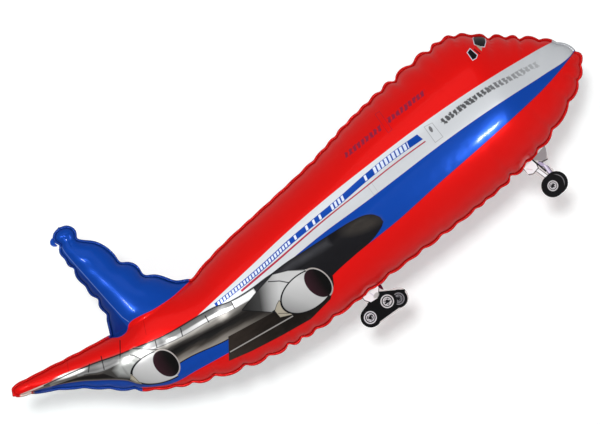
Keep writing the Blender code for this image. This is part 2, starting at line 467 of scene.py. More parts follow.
def all_puckers(rim, outline):
    """(place along the seam, depth, reach, lean) of each pucker, deep ones and those between."""
    rng = random.Random(PLEAT_SEED)
    deep = deep_puckers(rim, outline)
    found = []
    for i, (along, depth, far) in enumerate(deep):
        reach = far * rng.uniform(*DEEP_REACH_RANGE)
        found.append((along, depth, reach, (rng.random() - 0.5) * DEEP_LEAN))
        after = deep[(i + 1) % len(deep)][0] + (rim.length if i == len(deep) - 1 else 0)
        count = max(round((after - along) / rng.uniform(*PLEAT_SPACING)), 1)
        for k in range(1, count):
            at = along + (after - along) * (k + PLEAT_SHIFT * (rng.random() - 0.5)) / count
            strength = puckering(rim.point(at), outline)
            if strength == 0:
                continue
            size = rng.uniform(*PLEAT_DEPTH)
            reach = rng.uniform(*PLEAT_REACH)
            if on_fin(rim.point(at), outline):
                reach *= FIN_SHARE
            lean = (rng.random() - 0.5) * PLEAT_LEAN
            found.append((at % rim.length, size * strength, reach, lean))
    return sorted(found)


def pushed_in(along, far, puckers, length):
    """How far the sheet lies inside its smooth shape here: deep at a pucker, round between two."""
    places = [pucker[0] + pucker[3] * min(far, pucker[2]) for pucker in puckers]
    after = next((i for i, place in enumerate(places) if place > along), 0)
    before = after - 1
    start, end = places[before], places[after]
    gap = (end - start) % length
    share = min(max(((along - start) % length) / max(gap, NEARLY_ZERO), 0), 1)
    depth = 0.0
    for i, weight in ((before, 1 - share), (after, share)):
        reach = puckers[i][2]
        depth += weight * puckers[i][1] * max(1 - far / reach, 0) ** CREASE_FADE
    lobe = (4 * share * (1 - share)) ** LOBE_SHAPE
    return depth * (1 - (1 + LOBE_RISE) * lobe)


def draw_pleats(mesh, rim, puckers):
    """Draws the puckers in from the seam, and lets the seam wave a little out of its plane."""
    pushes = []
    for vert in mesh.verts:
        along, far = rim.nearest(vert.co)
        pushes.append((along, far, pushed_in(along, far, puckers, rim.length)))
    deepest = max(pucker[1] for pucker in puckers)
    for vert, (along, far, push) in zip(mesh.verts, pushes):
        on_seam = abs(vert.co.y) < ON_SEAM
        way = Vector((vert.normal.x, 0 if on_seam else vert.normal.y, vert.normal.z)).normalized()
        vert.co -= way * push
        if on_seam:
            vert.co.y = SEAM_WAVE * math.sin(along / SEAM_WAVE_PACE) * max(push, 0) / deepest


def inflate(thing, rim, order):
    """Runs the pressure inside the envelope as cloth, and keeps its shape."""
    hold = thing.vertex_groups.new(name="hold")
    on_seam = set(order)
    for vert in thing.data.vertices:
        far = rim.nearest(vert.co)[1]
        most = 1 if vert.index in on_seam else ramp(far, HOLD_START, HOLD_START + HOLD_OVER, 0, HOLD_MOST)
        hold.add([vert.index], most, "REPLACE")
    cloth = thing.modifiers.new("inflate", "CLOTH")
    for name, value in CLOTH_SETTINGS.items():
        setattr(cloth.settings, name, value)
    cloth.settings.effector_weights.gravity = 0
    cloth.collision_settings.use_collision = False
    cloth.point_cache.frame_start = 1
    cloth.point_cache.frame_end = CLOTH_FRAMES
    for step in range(1, CLOTH_FRAMES + 1):
        bpy.context.scene.frame_set(step)
    graph = bpy.context.evaluated_depsgraph_get()
    done = bpy.data.meshes.new_from_object(thing.evaluated_get(graph))
    thing.modifiers.clear()
    bpy.context.scene.frame_set(1)
    thing.data = done
    thing.vertex_groups.clear()


def object_from(mesh, name, *finishes):
    data = bpy.data.meshes.new(name)
    mesh.to_mesh(data)
    mesh.free()
    data.shade_smooth()
    for finish in finishes:
        data.materials.append(finish)
    thing = bpy.data.objects.new(name, data)
    bpy.context.scene.collection.objects.link(thing)
    return thing


def thicken(thing, thickness, offset):
    smooth = thing.modifiers.new("smooth", "SUBSURF")
    smooth.levels = smooth.render_levels = 1
    wall = thing.modifiers.new("wall", "SOLIDIFY")
    wall.thickness = thickness
    wall.offset = offset
    return thing


def half_of(closed, side, name, finish):
    """One of the two sheets: the faces on this side of the seam, subdivided, with a wall."""
    mesh = bmesh.new()
    mesh.from_mesh(closed)
    other = [face for face in mesh.faces if face.calc_center_median().y * side < 0]
    bmesh.ops.delete(mesh, geom=other, context="FACES")
    lay_out_print(mesh)
    return thicken(object_from(mesh, name, finish), FOIL_WALL, -1)


def seam_strip(closed, loop, rim, finish):
    """The flat heat seal outside the foil's rim, following its puckers."""
    places = [closed.vertices[i].co.copy() for i in loop]
    count = len(places)
    strip = bmesh.new()
    inner = [strip.verts.new(place) for place in places]
    edges = [strip.edges.new((inner[i], inner[(i + 1) % count])) for i in range(count)]
    grown = bmesh.ops.extrude_edge_only(strip, edges=edges)
    fresh = {part for part in grown["geom"] if isinstance(part, bmesh.types.BMVert)}
    print_map = strip.loops.layers.uv.new("print")
    seal_map = strip.loops.layers.uv.new("seal")
    rank = {vert: i for i, vert in enumerate(inner)}
    for i, vert in enumerate(inner):
        before, after = rim.point(rim.along[i] - SEAM_WIDTH), rim.point(rim.along[i] + SEAM_WIDTH)
        way = Vector((before.z - after.z, 0, after.x - before.x)).normalized()
        outer = next(e.other_vert(vert) for e in vert.link_edges if e.other_vert(vert) in fresh)
        rank[outer] = i
        outer.co = vert.co + way * SEAM_WIDTH
        outer.co.y = vert.co.y * SEAM_WAVE_GROWTH
    for face in strip.faces:
        ranks = [rank[loop.vert] for loop in face.loops]
        wraps = max(ranks) - min(ranks) > count / 2
        for corner, i in zip(face.loops, ranks):
            along = rim.length if wraps and i < count / 2 else rim.along[i]
            corner[print_map].uv = seen_flat(places[i])
            corner[seal_map].uv = (along, 0 if corner.vert in fresh else 1)
    bmesh.ops.recalc_face_normals(strip, faces=strip.faces)
    return thicken(object_from(strip, "heat_seal", finish), SEAM_THICKNESS, 0)


def make_foil(foil_finish, seal_finish):
    """The two sheets and the heat seal, from one envelope."""
    outline = Outline()
    mesh, points = envelope(outline)
    order = numbers_of(mesh, points)
    rim = Rim(points)
    draw_pleats(mesh, rim, all_puckers(rim, outline))
    whole = object_from(mesh, "envelope")
    inflate(whole, rim, order)
    closed = whole.data
    right = half_of(closed, -1, "right_foil_sheet", foil_finish)
    left = half_of(closed, 1, "left_foil_sheet", foil_finish)
    seal = seam_strip(closed, order, rim, seal_finish)
    bpy.data.objects.remove(whole)
    return right, left, seal


# Colours of the print, as the film shows them in plain light
RED = (0.74, 0.006, 0.005)
BLUE = (0.004, 0.056, 0.37)
SILVER_WHITE = (0.65, 0.67, 0.70)
INK = (0.006, 0.006, 0.008)
WINDOW_WHITE = (0.72, 0.78, 0.9)
WINDOW_GREY = (0.12, 0.12, 0.13)
FRONT_WINDOW_GREY = (0.05, 0.05, 0.055)
LINE_RED = (0.42, 0.02, 0.06)
PURPLE = (0.20, 0.02, 0.06)
CONE = (0.42, 0.38, 0.30)

# The artwork's reach in millimetres, which curves are drawn on, and how soft a printed edge is
ALONG = (-560.0, 380.0)
UP = (-160.0, 220.0)
SOFT = 0.5


def new_group(name, inputs, outputs):
    """An empty node group with named sockets: (name, kind, default) and (name, kind)."""
    group = bpy.data.node_groups.new(name, "ShaderNodeTree")
    for label, kind, value in inputs:
        socket = group.interface.new_socket(label, in_out="INPUT", socket_type=kind)
        socket.default_value = value
    for label, kind in outputs:
        group.interface.new_socket(label, in_out="OUTPUT", socket_type=kind)
    return group, group.nodes.new("NodeGroupInput"), group.nodes.new("NodeGroupOutput")


class Drawing:
    """Draws a print as nodes. A shape is how far inside it a place lies, in millimetres."""

    def __init__(self, tree):
        self.tree = tree

    def lay_out(self, along, up):
        """Draws from here on by these two coordinates, in millimetres."""
        self.along = along
        self.up = up
        self.place = self.node("ShaderNodeCombineXYZ", X=along, Y=up, Z=1.0).outputs[0]

    def put(self, socket, value):
        if isinstance(value, bpy.types.NodeSocket):
            self.tree.links.new(value, socket)
        elif isinstance(value, tuple) and socket.type == "RGBA":
            socket.default_value = (*value[:3], 1)
        else:
            socket.default_value = value

    def fill(self, node, **inputs):
        for key, value in inputs.items():
            self.put(node.inputs[key.replace("_", " ")], value)
        return node

    def node(self, kind, settings=(), **inputs):
        node = self.tree.nodes.new(kind)
        for key, value in dict(settings).items():
            setattr(node, key, value)
        return self.fill(node, **inputs)

    def in_order(self, node, *values):
        for socket, value in zip(node.inputs, values):
            self.put(socket, value)
        return node

    def group(self, group, **inputs):
        return self.node("ShaderNodeGroup", {"node_tree": group}, **inputs)

    def uv(self, name):
        return self.node("ShaderNodeUVMap", {"uv_map": name}).outputs[0]

    def object_place(self):
        return self.node("ShaderNodeTexCoord").outputs["Object"]

    def lay_out_on(self, vector, up_axis):
        """Draws from here on by a place in metres, along its X and up this axis."""
        self.lay_out(self.millimetres(vector, "X"), self.millimetres(vector, up_axis))

    def millimetres(self, vector, axis):
        """One coordinate of a vector in metres, as millimetres."""
        return self.maths("MULTIPLY", self.node("ShaderNodeSeparateXYZ", Vector=vector).outputs[axis], 1000)

    def bump(self, height, strength, distance):
        """The normal of a surface with this relief."""
        return self.node("ShaderNodeBump", Height=height, Strength=strength, Distance=distance).outputs[0]

    def crinkles(self, relief, scale, strength, distance):
        height = self.group(relief, Vector=self.object_place(), Scale=scale).outputs["Height"]
        return self.bump(height, strength, distance)

    def maths(self, operation, *values, clamp=False):
        node = self.node("ShaderNodeMath", {"operation": operation, "use_clamp": clamp})
        return self.in_order(node, *values).outputs[0]

    def less(self, value, taken):
        return self.maths("SUBTRACT", value, taken)

    def scaled(self, value, factor, added=0.0):
        return self.maths("MULTIPLY_ADD", value, factor, added)

    def dot(self, x, y, offset):
        node = self.node("ShaderNodeVectorMath", {"operation": "DOT_PRODUCT"})
        return self.in_order(node, self.place, (x, y, offset)).outputs["Value"]

    def height_of(self, points):
        """How far up a smooth line through the points lies, at each place along."""
        reach, rise = ALONG[1] - ALONG[0], UP[1] - UP[0]
        share = self.scaled(self.along, 1 / reach, -ALONG[0] / reach)
        node = self.node("ShaderNodeFloatCurve", Value=share)
        curve = node.mapping.curves[0]
        node.mapping.extend = "HORIZONTAL"
        for i, (x, y) in enumerate(sorted(points)):
            place = ((x - ALONG[0]) / reach, (y - UP[0]) / rise)
            if i < 2:
                curve.points[i].location = place
            else:
                curve.points.new(*place)
        node.mapping.update()
        return self.scaled(node.outputs[0], rise, UP[0])

    def over(self, points):
        """Inside is above the line."""
        return self.less(self.up, self.height_of(points))

    def under(self, points):
        return self.less(self.height_of(points), self.up)

    def near(self, height, half):
        """Inside is within half a width of this height."""
        return self.less(half, self.maths("ABSOLUTE", self.less(self.up, height)))

    def left_of(self, a, b):
        """Inside is to the left of the straight line from a to b."""
        length = math.dist(a, b)
        x, y = (a[1] - b[1]) / length, (b[0] - a[0]) / length
        return self.dot(x, y, -x * a[0] - y * a[1])

    def between(self, foot, top):
        return self.both(self.over(foot), self.under(top))

    def share_between(self, foot, top):
        """0 at the lower line and 1 at the upper one."""
        low, high = self.height_of(foot), self.height_of(top)
        return self.maths("DIVIDE", self.less(self.up, low), self.less(high, low))

    def ranged(self, value, start, end, low, high):
        node = self.node("ShaderNodeMapRange", From_Min=start, From_Max=end, To_Min=low, To_Max=high)
        return self.fill(node, Value=value).outputs[0]

    def shades(self, value, stops):
        """Greys or colours along a value from 0 to 1: (place, colour)."""
        node = self.in_order(self.node("ShaderNodeValToRGB"), value)
        parts = node.color_ramp.elements
        for i, (place, colour) in enumerate(stops):
            part = parts[i] if i < 2 else parts.new(place)
            part.position = place
            part.color = (*colour, 1) if isinstance(colour, tuple) else (colour, colour, colour, 1)
        return node.outputs[0]

    def mottle(self, scale, stretch=1.0, detail=3.0):
        """A grey pattern, longer along X where stretch is above 1."""
        spot = self.node("ShaderNodeVectorMath", {"operation": "MULTIPLY"})
        spot = self.in_order(spot, self.place, (1 / stretch, 1, 1)).outputs[0]
        settings = {"noise_dimensions": "2D"}
        return self.node("ShaderNodeTexNoise", settings, Vector=spot, Scale=scale, Detail=detail).outputs[0]

    def worn(self, shape, depth, start):
        """A shape worn in spots: larger by start in some, and smaller by up to depth less start."""
        return self.grown(shape, self.scaled(self.mottle(0.3, detail=0.0), -depth, start))

    def grown(self, shape, by):
        """The shape made larger all round."""
        return self.maths("ADD", shape, by)

    def both(self, *shapes):
        return functools.reduce(lambda a, b: self.maths("MINIMUM", a, b), shapes)

    def either(self, *shapes):
        return functools.reduce(lambda a, b: self.maths("MAXIMUM", a, b), shapes)

    def after(self, place):
        return self.less(self.along, place)

    def before(self, place):
        return self.less(place, self.along)

    def span(self, start, end):
        return self.both(self.after(start), self.before(end))

    def patch(self, *corners):
        """A patch with straight sides. Its corners run anticlockwise, and none points inwards."""
        return self.both(*(self.left_of(a, b) for a, b in zip(corners, corners[1:] + corners[:1])))

    def oval(self, centre, half_long, half_short, turn_deg=0.0):
        c, s = math.cos(math.radians(turn_deg)), math.sin(math.radians(turn_deg))
        x = self.dot(c / half_long, s / half_long, -(c * centre[0] + s * centre[1]) / half_long)
        y = self.dot(-s / half_short, c / half_short, (s * centre[0] - c * centre[1]) / half_short)
        length = self.node("ShaderNodeVectorMath", {"operation": "LENGTH"})
        self.in_order(length, self.node("ShaderNodeCombineXYZ", X=x, Y=y).outputs[0])
        return self.scaled(length.outputs["Value"], -half_short, half_short)

    def edge_of(self, shape, width):
        """The line along a shape's edge."""
        return self.less(width / 2, self.maths("ABSOLUTE", shape))

    def stroke(self, a, b, width):
        """A straight line of this width from a to b."""
        length = math.dist(a, b)
        x, y = (b[0] - a[0]) / length, (b[1] - a[1]) / length
        middle = ((a[0] + b[0]) / 2, (a[1] + b[1]) / 2)
        on = self.dot(x, y, -x * middle[0] - y * middle[1])
        off = self.dot(-y, x, y * middle[0] - x * middle[1])
        return self.both(self.edge_of(on, length), self.edge_of(off, width))

    def strokes(self, points, width):
        return self.either(*(self.stroke(a, b, width) for a, b in zip(points, points[1:])))

    def row(self, line, start, end, pitch, width, height, slant):
        """A row of windows along a line, each slanted by this share of its height."""
        off = self.less(self.up, line)
        lean = self.scaled(off, -slant, self.along)
        cell = self.maths("FRACT", self.scaled(lean, 1 / pitch, -start / pitch))
        across = self.maths("MULTIPLY", self.maths("ABSOLUTE", self.less(cell, 0.5)), pitch)
        window = self.both(self.less(width / 2, across), self.edge_of(off, height))
        return self.both(window, self.less(lean, start), self.less(end, lean))

    def mask(self, shape, soft=SOFT):
        return self.maths("MULTIPLY_ADD", shape, 1 / soft, 0.5, clamp=True)

    def paint(self, under, colour, shape, strength=1.0, soft=SOFT):
        """The colour laid over what is under it, inside the shape."""
        cover = self.mask(shape, soft)
        if strength != 1.0:
            cover = self.maths("MULTIPLY", cover, strength)
        return self.blend(under, colour, cover)

    def coats(self, under, *coats):
        """Paints coats in turn: (colour, shape), then its strength and its soft edge where they differ."""
        for coat in coats:
            under = self.paint(under, *coat)
        return under

    def blend(self, under, colour, cover):
        node = self.node("ShaderNodeMix", {"data_type": "RGBA"})
        for socket, value in ((0, cover), (6, under), (7, colour)):
            self.put(node.inputs[socket], value)
        return node.outputs[2]

    def mix(self, under, value, cover):
        node = self.node("ShaderNodeMix", {"data_type": "FLOAT"})
        for socket, part in ((0, cover), (2, under), (3, value)):
            self.put(node.inputs[socket], part)
        return node.outputs[0]


def print_group(name, draw):
    """A node group that lays one part of the artwork over the colour under it."""
    inputs = (
        ("Along", "NodeSocketFloat", 0.0),
        ("Up", "NodeSocketFloat", 0.0),
        ("Under", "NodeSocketColor", (*RED, 1)),
    )
    outputs = (("Colour", "NodeSocketColor"), ("Bare film", "NodeSocketFloat"))
    group, inlet, outlet = new_group("print_" + name, inputs, outputs)
    d = Drawing(group)
    d.lay_out(inlet.outputs["Along"], inlet.outputs["Up"])
    d.in_order(outlet, *draw(d, inlet.outputs["Under"]))
    return group


# Lines and patches of the artwork are in millimetres, along X and up Z
WHITE_TOP = (
    (-280.4, 4.3), (-177.5, 18.5), (-114.6, 27.7), (-42.8, 35.2), (38.4, 40.2), (125.7, 43.6),
    (193.2, 43.3), (240, 41.4), (288.9, 38), (325.4, 34.6), (356, 29),
)
WHITE_FOOT = (
    (-280, -8), (-189.4, -8), (-150, -7.4), (-107.4, -3.6), (-67.7, -0.8), (-22.8, 0.2), (19, 1.4),
    (63.3, 3.4), (110, 5.5), (160, 6.8), (202.6, 6.8), (248.6, 5.6), (299.8, 3.6), (341.7, 3.6),
    (352.7, 7.5),
)
BLUE_FOOT = (
    (-180, -62), (-91.7, -53), (-50, -49), (-11.1, -47.3), (27.1, -44.6), (58.5, -40.8), (95.6, -36),
    (141.7, -31), (190, -25.6), (229.1, -20.8), (262.4, -16.2), (291.9, -11.2), (323.4, -3.6), (351.2, 5.3),
)


def draw_bands(d, under):
    """White and blue bands from the nose back to the wing."""
    blue = d.both(d.over(BLUE_FOOT), d.under(WHITE_FOOT), d.after(-200))
    border = d.both(d.edge_of(d.over(BLUE_FOOT), 1.1), d.under(WHITE_FOOT), d.after(-100))
    white = d.both(d.over(WHITE_FOOT), d.under(WHITE_TOP), d.after(-280))
    colour = d.coats(under, (BLUE, blue), (INK, border, 0.45), (SILVER_WHITE, white))
    return colour, d.mask(white)


STRIP_LINE = (
    (-245, 2.5), (-213, 4.5), (-180, 7), (-145.6, 11), (-118, 14.8), (-61, 19.6), (-25.7, 22.4),
    (21, 27.6), (65, 30.6), (108.4, 31),
)
STRIP_END = ((114.6, 27), (112, 36))
RED_LINE = (
    (-205, -1.5), (-170, 1.8), (-140, 4.6), (-106, 8.3), (-56, 13.2), (10, 17.2), (57, 20.3), (114.4, 21.7),
)
FRONT_WINDOW_LINE = (
    (152.5, 29.8), (190, 31.4), (236.4, 29.6), (256.9, 26.2), (271.6, 24.5), (298.7, 20.5),
)

# Rows of windows: start, end, pitch, width and height
STRIP_WINDOWS = (
    (34.0, 94.0, 6.4, 4.3, 8.2), (17.5, 23.9, 6.4, 3.6, 7.0), (-42.0, -18.0, 6.0, 3.6, 7.0),
    (-63.5, -57.5, 6.0, 3.6, 6.2), (-74.5, -68.5, 6.0, 3.6, 6.2), (-86.8, -80.8, 6.0, 3.6, 6.2),
    (-107.0, -101.0, 6.0, 3.4, 5.6), (-243.0, -113.0, 5.0, 3.2, 4.8),
)
FRONT_WINDOWS = (149.0, 302.0, 6.65, 4.6, 8.0)


def draw_windows(d, under):
    """The strip of cabin windows, the row in the white band, and the doors."""
    line = d.height_of(STRIP_LINE)
    strip_half = d.ranged(d.along, -239, 113, 3.2, 5.0)
    strip = d.both(d.near(line, strip_half), d.left_of(*STRIP_END), d.after(-246))
    windows = d.either(*(d.row(line, *row, slant=0.2) for row in STRIP_WINDOWS))
    red_half = d.ranged(d.along, -190, -20, 1.5, 0.85)
    red_line = d.both(d.near(d.height_of(RED_LINE), red_half), d.span(-206, 116))
    front = d.worn(d.row(d.height_of(FRONT_WINDOW_LINE), *FRONT_WINDOWS, slant=-0.25), 3.0, 1.5)
    door = d.patch((126, 12.6), (139, 13.1), (137.8, 37), (125.7, 38.7))
    small_door = d.patch((16.8, 2), (23.6, 2), (23.6, 18.6), (16.8, 18.6))
    return d.coats(
        under,
        (BLUE, strip),
        (WINDOW_WHITE, windows),
        (LINE_RED, red_line),
        (FRONT_WINDOW_GREY, front, d.ranged(d.along, 215, 300, 0.92, 0.3), 1.2),
        (WINDOW_GREY, d.edge_of(door, 0.8), 0.5),
        (WINDOW_GREY, d.oval((131.4, 31), 4.6, 2.2, 85), 0.9),
        (WINDOW_GREY, d.edge_of(small_door, 0.6), 0.3),
    ), 0.0


# The two rows of the upper deck: their first and last windows, and the pitch, width and height
DECK_ROWS = (((14.0, 68.2), (78.0, 71.9)), ((89.0, 73.7), (153.0, 77.3)))
DECK_WINDOW = (7.1, 4.6, 6.8)
PANE_RIM = 0.9


def draw_upper_deck(d, under):
    """Upper deck windows and the cockpit panes."""
    colour = under
    for a, b in DECK_ROWS:
        slope = (b[1] - a[1]) / (b[0] - a[0])
        line = d.scaled(d.along, slope, a[1] - slope * a[0])
        row = d.worn(d.row(line, a[0], b[0], *DECK_WINDOW, slant=0.35), 2.5, 1.2)
        colour = d.paint(colour, PURPLE, row, 0.85, 1.4)
    door = d.patch((81, 60), (88, 61), (88, 91), (81, 91))
    pane = d.patch(
        (246.5, 91.5), (251.3, 84.5), (255.5, 81.3), (260.4, 85.4), (263.9, 93), (260.5, 103), (249.4, 99)
    )
    sill = d.patch((246.7, 90.9), (249, 78.5), (251.8, 81.5), (250.4, 86.5))
    side_pane = d.patch((232.1, 87.8), (232.2, 75.6), (237.3, 75.1), (240.8, 77.6), (237.7, 89.8))
    return d.coats(
        colour,
        (PURPLE, d.edge_of(door, 0.7), 0.5),
        (WINDOW_WHITE, d.grown(pane, PANE_RIM)),
        (INK, pane),
        (CONE, sill),
        (WINDOW_WHITE, d.grown(side_pane, PANE_RIM)),
        (INK, side_pane),
        (INK, d.stroke((242.1, 86.7), (244.9, 76.4), 1.4)),
    ), 0.0


FAIRING_TOP = (
    (-192, -7), (-161.4, -5.6), (-131.6, -4.4), (-106.8, -5.6), (-59.4, -7.4), (-24.7, -9.8), (-8, -13.6),
    (3.3, -22), (6.5, -33),
)
FAIRING_FOOT = (
    (-192, -34), (-150, -70), (-116, -62), (-91.7, -55.4), (-50.4, -50), (-21.7, -47), (-8, -43),
    (3, -38), (6.5, -34),
)
FAIRING_BLACK = (0.009, 0.009, 0.011)
FAIRING_GREYS = ((0.02, 0.021, 0.026), (0.10, 0.10, 0.11))
FAIRING_BROWNS = ((0.03, 0.027, 0.024), (0.13, 0.11, 0.09))


def draw_fairing(d, under):
    """The dark fairing where the wing meets the body, over the engine."""
    shape = d.both(d.between(FAIRING_FOOT, FAIRING_TOP), d.span(-190, 6.5))
    streak = d.both(shape, d.edge_of(d.grown(d.under(FAIRING_TOP), -8.0), 10.0), d.before(-70))
    gleam = d.both(d.oval((-20, -22), 27, 9.5, -14), shape)
    noise = d.mottle(0.06, 2.5, 4.0)
    return d.coats(
        under,
        (FAIRING_BLACK, shape),
        (d.blend(*FAIRING_GREYS, noise), streak, 0.6, 7),
        (d.blend(*FAIRING_BROWNS, noise), gleam, 0.4, 8),
    ), 0.0


WING_TOP = (
    (-528, 51.4), (-432.2, 34.2), (-393.2, 23.5), (-368.8, 18), (-322.2, 8.6), (-270.6, 4.1),
    (-247.7, 1.3), (-225.2, -4.5), (-188.6, -6.9), (-168.2, -6.2), (-147.5, -7.4),
)
SLAT_FOOT = (
    (-528, 48), (-446.7, 27.7), (-425.4, 17.8), (-398, 11.9), (-344.3, 0.8), (-328.5, -2.7), (-306, -6.1),
    (-265.3, -9.6), (-227.7, -15.2), (-191.2, -20), (-160, -26),
)
WING_FOOT = (
    (-530.6, 53.5), (-489.8, 39.6), (-457.3, 24.4), (-438.7, 13), (-416, -2), (-401.2, -14.1),
    (-396.1, -21), (-384, -31), (-360, -36), (-330.4, -33.8), (-258.4, -45), (-220, -48), (-180, -54),
    (-140, -62),
)
BLUE_STRIP_FOOT = (
    (-393.7, -29.4), (-370.6, -43.8), (-351.2, -51.6), (-316.3, -55.3), (-290.9, -58.1), (-268.5, -60.5),
)
FLAP_REAR = ((-274.2, -69.8), (-254.7, -42))
SLAT_BREAKS = (
    ((-431.8, 36), (-440, 27)), ((-412.9, 35.6), (-420, 17.8)), ((-390.2, 23), (-397.2, 13)),
    ((-340.3, 11.3), (-344.3, 0.8)), ((-302.5, 4.8), (-306.8, -6.3)), ((-265.5, -0.4), (-266.5, -11.3)),
    ((-225.4, -6), (-227, -15.7)),
)
WING_REAR = -392

# The bare foil of the wing, from its foot up, and its slats, as (place, grey or colour): a printed dark
# core with painted reflection lighter towards the foil's edges, and grey slats with painted reflection
# whitening their lower halves
WING_CORE_AND_SHEEN = (
    (0.0, (0.32, 0.295, 0.26)), (0.14, (0.20, 0.18, 0.16)), (0.30, (0.05, 0.043, 0.037)), (0.44, 0.012),
    (0.60, 0.005), (0.74, (0.03, 0.028, 0.026)), (0.87, (0.18, 0.17, 0.155)), (1.0, (0.36, 0.35, 0.33)),
)
REAR_SHADES = ((0.0, 0.006), (0.7, (0.012, 0.010, 0.010)), (1.0, (0.12, 0.11, 0.10)))
SLAT_GREYS = ((0.0, 0.22), (0.2, 0.24), (0.32, 0.13), (0.7, 0.15), (1.0, 0.10))
SLAT_SHEEN_AND_GREYS = ((0.0, 0.60), (0.36, 0.72), (0.48, 0.15), (1.0, 0.10))
WING_ROOT_BLACK = (0.016, 0.014, 0.013)
GLINT = (0.85, 0.85, 0.85)
REAR_GLINT = (0.9, 0.9, 0.88)
TAIL_GLINT = (0.7, 0.66, 0.6)
FLAP_BLACK = (0.006, 0.005, 0.004)
FLAP_BROWN = (0.036, 0.027, 0.022)
FLAP_LINE = (0.45, 0.43, 0.41)


def draw_wing(d, under):
    """The wing as bare foil with a printed dark core and painted reflection, its slats with painted
    reflection and glints, its flap and the blue strip under it.
    """
    below = d.either(d.over(BLUE_STRIP_FOOT), d.before(WING_REAR))
    blue = d.both(d.under(WING_FOOT), below, d.left_of(*FLAP_REAR))
    surface = d.both(d.between(WING_FOOT, WING_TOP), d.span(-530, -120))
    streaks = d.scaled(d.mottle(0.09, 6.0), 0.3, -0.15)
    across = d.grown(d.share_between(WING_FOOT, SLAT_FOOT), streaks)
    inboard = d.ranged(d.along, -265, -195, 0, 0.85)
    foil = d.blend(d.shades(across, WING_CORE_AND_SHEEN), WING_ROOT_BLACK, inboard)
    slat = d.both(d.between(SLAT_FOOT, WING_TOP), d.span(-455, -189))
    rise = d.share_between(SLAT_FOOT, WING_TOP)
    # painted reflection: towards the root the slats' lower halves turn white
    shine = d.ranged(d.along, -330, -262, 0, 1)
    slats = d.blend(d.shades(rise, SLAT_GREYS), d.shades(rise, SLAT_SHEEN_AND_GREYS), shine)
    flap = d.either(
        d.patch((-150.1, -87), (-116.3, -79.1), (-140, -57), (-180, -51), (-256, -42), (-274.2, -69.8),
                (-240.8, -76.6), (-196.8, -82.5)),
        d.patch((-150.1, -87), (-112.7, -80.1), (-97.7, -66.5), (-92, -55.7), (-160, -50)),
    )
    brown = d.ranged(d.scaled(d.mottle(0.12, 3.0), 60.0, d.along), -250, -150, 1.0, 0.1)
    colour = d.coats(
        under,
        (BLUE, blue),
        (foil, surface),
        (d.shades(across, REAR_SHADES), d.both(surface, d.before(WING_REAR)), 1.0, 8),
        (slats, slat),
        (GLINT, d.grown(d.both(slat, d.after(-227)), -1.6), 1.0, 2),
        (GLINT, d.oval((-321, -0.5), 6, 1.8, -15), 1.0, 2),
        (REAR_GLINT, d.oval((-462, 39.5), 21, 3.4, -15), 1.0, 2),
        (TAIL_GLINT, d.stroke((-539, 56.5), (-484, 44.2), 1.8), 0.8),
        *((INK, d.stroke(a, b, 1.5), 0.9) for a, b in SLAT_BREAKS),
        (INK, d.both(d.edge_of(d.over(SLAT_FOOT), 1.3), d.span(-447, -240)), 0.6),
        (d.blend(FLAP_BLACK, FLAP_BROWN, brown), flap),
        (FLAP_LINE, d.stroke((-266.1, -60.6), (-167.8, -69.6), 1.5), 0.8),
        (INK, d.both(d.edge_of(d.under(WING_TOP), 2.0), d.span(-500, -150)), 0.9),
        (INK, d.both(d.edge_of(d.under(WING_FOOT), 1.5), d.span(-331, -258))),
        (INK, d.stroke((-379.3, 38.6), (-397.4, 11.5), 1.5), 0.8),
    )
    bare = d.mask(d.both(surface, d.less(0.5, d.mask(flap))))
    return colour, d.maths("MULTIPLY", bare, d.ranged(d.along, -330, -250, 0.1, 0.4))


# The engines, each drawn about the middle of its intake, and where those lie on the artwork
ENGINE_PLACES = {"inner_engine": (-114.2, -52.3), "outer_engine": (-346.3, -23.4)}
INTAKE_TURN = 99.8
INTAKE_AXIS = (0.17, -0.985)
LIP_WIDTH = 1.0
LIP_GREY = (0.40, 0.36, 0.34)
COWL_GREYS = ((0.0, 0.28), (0.4, 0.50), (0.8, 0.62), (1.0, 0.52))
INTAKE_SHADES = ((0.0, (0.035, 0.012, 0.018)), (0.7, 0.004))
INNER_BODY_GREYS = ((0.0, 0.02), (0.4, 0.05), (0.78, 0.40), (1.0, 0.56))
OUTER_BODY_DARK = (0.05, 0.047, 0.045)
OUTER_BODY_LIGHT = (0.36, 0.37, 0.36)


def engine_front(d, colour, cowl, half_tall, half_wide):
    """The cowl, and the dark intake at 0, 0 with its light lip."""
    foot = tuple(part * half_tall for part in INTAKE_AXIS)
    top = (-foot[0], -foot[1])
    lip = d.oval((0, 0), half_tall + LIP_WIDTH, half_wide + LIP_WIDTH, INTAKE_TURN)
    grey = d.shades(d.ranged(d.scaled(d.up, 0.7, d.along), -62, 6, 0, 1), COWL_GREYS)
    deep = d.shades(d.ranged(d.along, -half_wide, half_wide, 0, 1), INTAKE_SHADES)
    return d.coats(
        colour,
        (grey, d.either(d.both(cowl, d.left_of(foot, top)), lip)),
        (INK, d.both(d.edge_of(cowl, 1.7), d.left_of(foot, top))),
        (deep, d.oval((0, 0), half_tall, half_wide, INTAKE_TURN)),
        (LIP_GREY, d.both(d.edge_of(lip, 1.1), d.left_of(top, foot))),
    )


